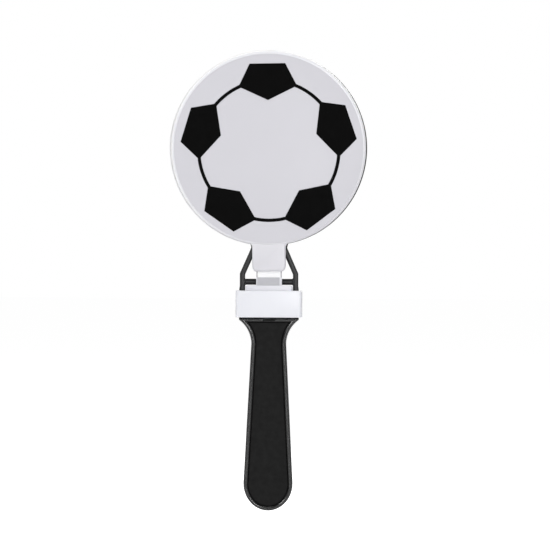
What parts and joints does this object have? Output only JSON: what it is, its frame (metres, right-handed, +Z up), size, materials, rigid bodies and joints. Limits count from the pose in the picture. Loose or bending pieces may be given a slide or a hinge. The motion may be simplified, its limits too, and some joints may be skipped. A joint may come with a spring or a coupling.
{
  "type": "hand clapper",
  "caption": "Hand-held noise maker: a grip that carries a striker disc in an open frame, with clapper discs hinged in front and behind on moulded webs.",
  "frame": {"origin": "middle of the grip on its centre line, where a hand holds it", "axes": "+Z up along the grip towards the discs, -Y out of the front face, +X to the right as seen from the front"},
  "size_m": [0.1037, 0.012, 0.2413],
  "materials": {
    "black_moulding": "satin black moulded polypropylene",
    "white_moulding": "semi-gloss white moulded polypropylene",
    "label_film": "smooth white film label",
    "black_ink": "printed black ink under a clear varnish"
  },
  "bodies": {
    "handle": {"grip_and_striker": "black_moulding", "collar": "white_moulding", "front_anchor_foot": "white_moulding", "rear_anchor_foot": "white_moulding", "front_hinge_web": "white_moulding", "rear_hinge_web": "white_moulding"},
    "front_paddle": {"front_clapper": "white_moulding", "front_label": "label_film", "front_print": "black_ink"},
    "rear_paddle": {"rear_clapper": "white_moulding", "rear_label": "label_film", "rear_print": "black_ink"}
  },
  "joints": [
    {"name": "front_paddle_swing", "type": "hinge", "parent": "handle", "child": "front_paddle", "pos_m": [0, -0.00287, 0.0734], "axis": [1, 0, 0], "range_deg": [0, 100], "stiffness_Nm_per_rad": 0.04, "deforming": ["front_hinge_web"]},
    {"name": "rear_paddle_swing", "type": "hinge", "parent": "handle", "child": "rear_paddle", "pos_m": [0, 0.00287, 0.0734], "axis": [-1, 0, 0], "range_deg": [0, 100], "stiffness_Nm_per_rad": 0.04, "deforming": ["rear_hinge_web"]}
  ]
}
